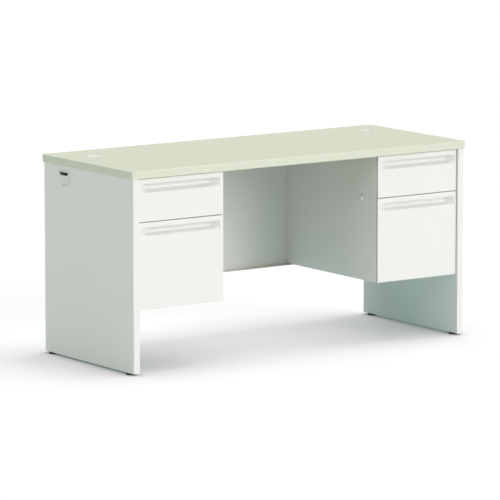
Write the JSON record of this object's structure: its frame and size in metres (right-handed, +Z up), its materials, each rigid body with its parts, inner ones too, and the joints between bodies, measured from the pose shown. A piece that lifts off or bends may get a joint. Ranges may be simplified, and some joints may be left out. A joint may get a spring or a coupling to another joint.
{
  "type": "double-pedestal desk",
  "caption": "Steel teacher desk with a pale green laminate worktop, hanging box and file pedestals on both sides, a modesty panel, cord grommets and levelling feet.",
  "frame": {"origin": "on the floor, below the centre of the worktop", "axes": "+X to the sitter's right along the worktop, +Y from the drawer fronts to the modesty panel, +Z up"},
  "size_m": [1.524, 0.6096, 0.7501],
  "materials": {
    "steel_enamel": "baked enamel, light grey, fine satin",
    "pull_enamel": "baked enamel, light grey, fine satin",
    "board": "raw particleboard",
    "laminate": "high-pressure laminate, pale sage green, matte",
    "edge_band": "extruded edge band, pale sage green, matte",
    "grommet_plastic": "moulded, fine texture",
    "port_plastic": "moulded, fine texture",
    "glide_black": "moulded nylon, black",
    "lock_chrome": "bright plated",
    "slide_zinc": "clear zinc plated",
    "hardware_zinc": "clear zinc plated"
  },
  "bodies": {
    "desk_frame": {"worktop_board": "board", "worktop_laminate": "laminate", "worktop_edge_band": "edge_band", "grommet_sleeves": "grommet_plastic", "left_end_outer_skin": "steel_enamel", "left_end_inner_panel": "steel_enamel", "right_end_outer_skin": "steel_enamel", "right_end_inner_panel": "steel_enamel", "end_panel_channels": "steel_enamel", "cord_port_inserts": "port_plastic", "modesty_panel": "steel_enamel", "kneespace_rail": "steel_enamel", "left_pedestal_side": "steel_enamel", "left_pedestal_shell": "steel_enamel", "right_pedestal_side": "steel_enamel", "right_pedestal_shell": "steel_enamel", "pedestal_front_rails": "steel_enamel", "slide_case_members": "slide_zinc", "lock_barrels": "lock_chrome", "glide_nuts": "hardware_zinc", "worktop_screws": "hardware_zinc", "pedestal_screws": "hardware_zinc", "modesty_screws": "hardware_zinc"},
    "left_box_drawer": {"left_box_front": "steel_enamel", "left_box_liner": "steel_enamel", "left_box_tub": "steel_enamel", "left_box_pull": "pull_enamel", "left_box_slide": "slide_zinc"},
    "left_file_drawer": {"left_file_front": "steel_enamel", "left_file_liner": "steel_enamel", "left_file_tub": "steel_enamel", "left_file_pull": "pull_enamel", "left_file_slide": "slide_zinc", "left_hang_rails": "hardware_zinc"},
    "left_box_runners": {"left_box_runner": "slide_zinc"},
    "left_file_runners": {"left_file_runner": "slide_zinc"},
    "left_cap": {"left_grommet_cap": "grommet_plastic"},
    "left_plug": {"left_lock_plug": "lock_chrome"},
    "left_bar": {"left_lock_bar": "hardware_zinc"},
    "right_box_drawer": {"right_box_front": "steel_enamel", "right_box_liner": "steel_enamel", "right_box_tub": "steel_enamel", "right_box_pull": "pull_enamel", "right_box_slide": "slide_zinc"},
    "right_file_drawer": {"right_file_front": "steel_enamel", "right_file_liner": "steel_enamel", "right_file_tub": "steel_enamel", "right_file_pull": "pull_enamel", "right_file_slide": "slide_zinc", "right_hang_rails": "hardware_zinc"},
    "right_box_runners": {"right_box_runner": "slide_zinc"},
    "right_file_runners": {"right_file_runner": "slide_zinc"},
    "right_cap": {"right_grommet_cap": "grommet_plastic"},
    "right_plug": {"right_lock_plug": "lock_chrome"},
    "right_bar": {"right_lock_bar": "hardware_zinc"},
    "front_left_foot": {"front_left_glide": "glide_black"},
    "front_right_foot": {"front_right_glide": "glide_black"},
    "back_left_foot": {"back_left_glide": "glide_black"},
    "back_right_foot": {"back_right_glide": "glide_black"}
  },
  "joints": [
    {"name": "left_box_drawer_slide", "type": "slide", "parent": "desk_frame", "child": "left_box_drawer", "axis": [0, -1, 0], "range_m": [0, 0.35]},
    {"name": "left_box_runner_slide", "type": "slide", "parent": "desk_frame", "child": "left_box_runners", "axis": [0, -1, 0], "range_m": [0, 0.175]},
    {"name": "left_file_drawer_slide", "type": "slide", "parent": "desk_frame", "child": "left_file_drawer", "axis": [0, -1, 0], "range_m": [0, 0.35]},
    {"name": "left_file_runner_slide", "type": "slide", "parent": "desk_frame", "child": "left_file_runners", "axis": [0, -1, 0], "range_m": [0, 0.175]},
    {"name": "left_lock_turn", "type": "hinge", "parent": "desk_frame", "child": "left_plug", "pos_m": [-0.36, -0.1881, 0.553], "axis": [1, 0, 0], "range_deg": [0, 90]},
    {"name": "left_lock_bar_lift", "type": "slide", "parent": "desk_frame", "child": "left_bar", "axis": [0, 0, 1], "range_m": [0, 0.00848]},
    {"name": "left_cap_turn", "type": "hinge", "parent": "desk_frame", "child": "left_cap", "pos_m": [-0.632, 0.1598, 0.7493], "axis": [0, 0, 1], "continuous": true},
    {"name": "right_box_drawer_slide", "type": "slide", "parent": "desk_frame", "child": "right_box_drawer", "axis": [0, -1, 0], "range_m": [0, 0.35]},
    {"name": "right_box_runner_slide", "type": "slide", "parent": "desk_frame", "child": "right_box_runners", "axis": [0, -1, 0], "range_m": [0, 0.175]},
    {"name": "right_file_drawer_slide", "type": "slide", "parent": "desk_frame", "child": "right_file_drawer", "axis": [0, -1, 0], "range_m": [0, 0.35]},
    {"name": "right_file_runner_slide", "type": "slide", "parent": "desk_frame", "child": "right_file_runners", "axis": [0, -1, 0], "range_m": [0, 0.175]},
    {"name": "right_lock_turn", "type": "hinge", "parent": "desk_frame", "child": "right_plug", "pos_m": [0.36, -0.1881, 0.553], "axis": [1, 0, 0], "range_deg": [0, 90]},
    {"name": "right_lock_bar_lift", "type": "slide", "parent": "desk_frame", "child": "right_bar", "axis": [0, 0, 1], "range_m": [0, 0.00848]},
    {"name": "right_cap_turn", "type": "hinge", "parent": "desk_frame", "child": "right_cap", "pos_m": [0.632, 0.1598, 0.7493], "axis": [0, 0, 1], "continuous": true},
    {"name": "front_left_glide_adjust", "type": "slide", "parent": "desk_frame", "child": "front_left_foot", "axis": [0, 0, -1], "range_m": [0, 0.015]},
    {"name": "front_right_glide_adjust", "type": "slide", "parent": "desk_frame", "child": "front_right_foot", "axis": [0, 0, -1], "range_m": [0, 0.015]},
    {"name": "back_left_glide_adjust", "type": "slide", "parent": "desk_frame", "child": "back_left_foot", "axis": [0, 0, -1], "range_m": [0, 0.015]},
    {"name": "back_right_glide_adjust", "type": "slide", "parent": "desk_frame", "child": "back_right_foot", "axis": [0, 0, -1], "range_m": [0, 0.015]}
  ],
  "couplings": [
    {"joint": "left_box_runner_slide", "follows": "left_box_drawer_slide", "ratio": 0.5},
    {"joint": "left_file_runner_slide", "follows": "left_file_drawer_slide", "ratio": 0.5},
    {"joint": "left_lock_turn", "follows": "left_lock_bar_lift", "rad_per_m": 185.1},
    {"joint": "right_box_runner_slide", "follows": "right_box_drawer_slide", "ratio": 0.5},
    {"joint": "right_file_runner_slide", "follows": "right_file_drawer_slide", "ratio": 0.5},
    {"joint": "right_lock_turn", "follows": "right_lock_bar_lift", "rad_per_m": 185.1}
  ]
}
